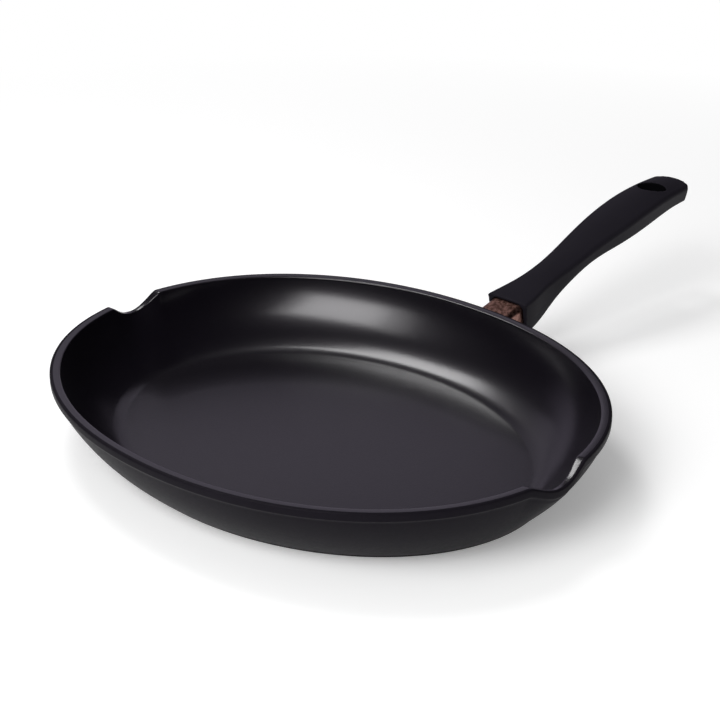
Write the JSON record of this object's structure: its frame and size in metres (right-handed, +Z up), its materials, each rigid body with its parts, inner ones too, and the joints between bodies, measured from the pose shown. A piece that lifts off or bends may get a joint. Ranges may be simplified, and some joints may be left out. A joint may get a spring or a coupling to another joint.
{
  "type": "fish pan",
  "caption": "Shallow oval cast pan with a pouring lip at each end and a long curved handle on its broad side, for frying whole fish.",
  "frame": {"origin": "centre of the oval base, on the plane that the pan stands on", "axes": "+X along the long axis towards one pouring lip, +Y along the handle away from the pan, +Z up"},
  "size_m": [0.3616, 0.5104, 0.0839],
  "materials": {
    "coated_casting": "cast aluminium under a dark anthracite non-stick coating, glossier inside, matte outside",
    "guard_metal": "heat-tinted copper-brown, mottled",
    "steel": "zinc-plated",
    "grip": "soft-touch black"
  },
  "bodies": {
    "root": {"pan_body": "coated_casting", "flame_guard": "guard_metal", "thread_insert": "steel", "handle_grip": "grip", "handle_screw": "steel", "spring_washer": "steel", "flat_washer": "steel"}
  },
  "joints": []
}
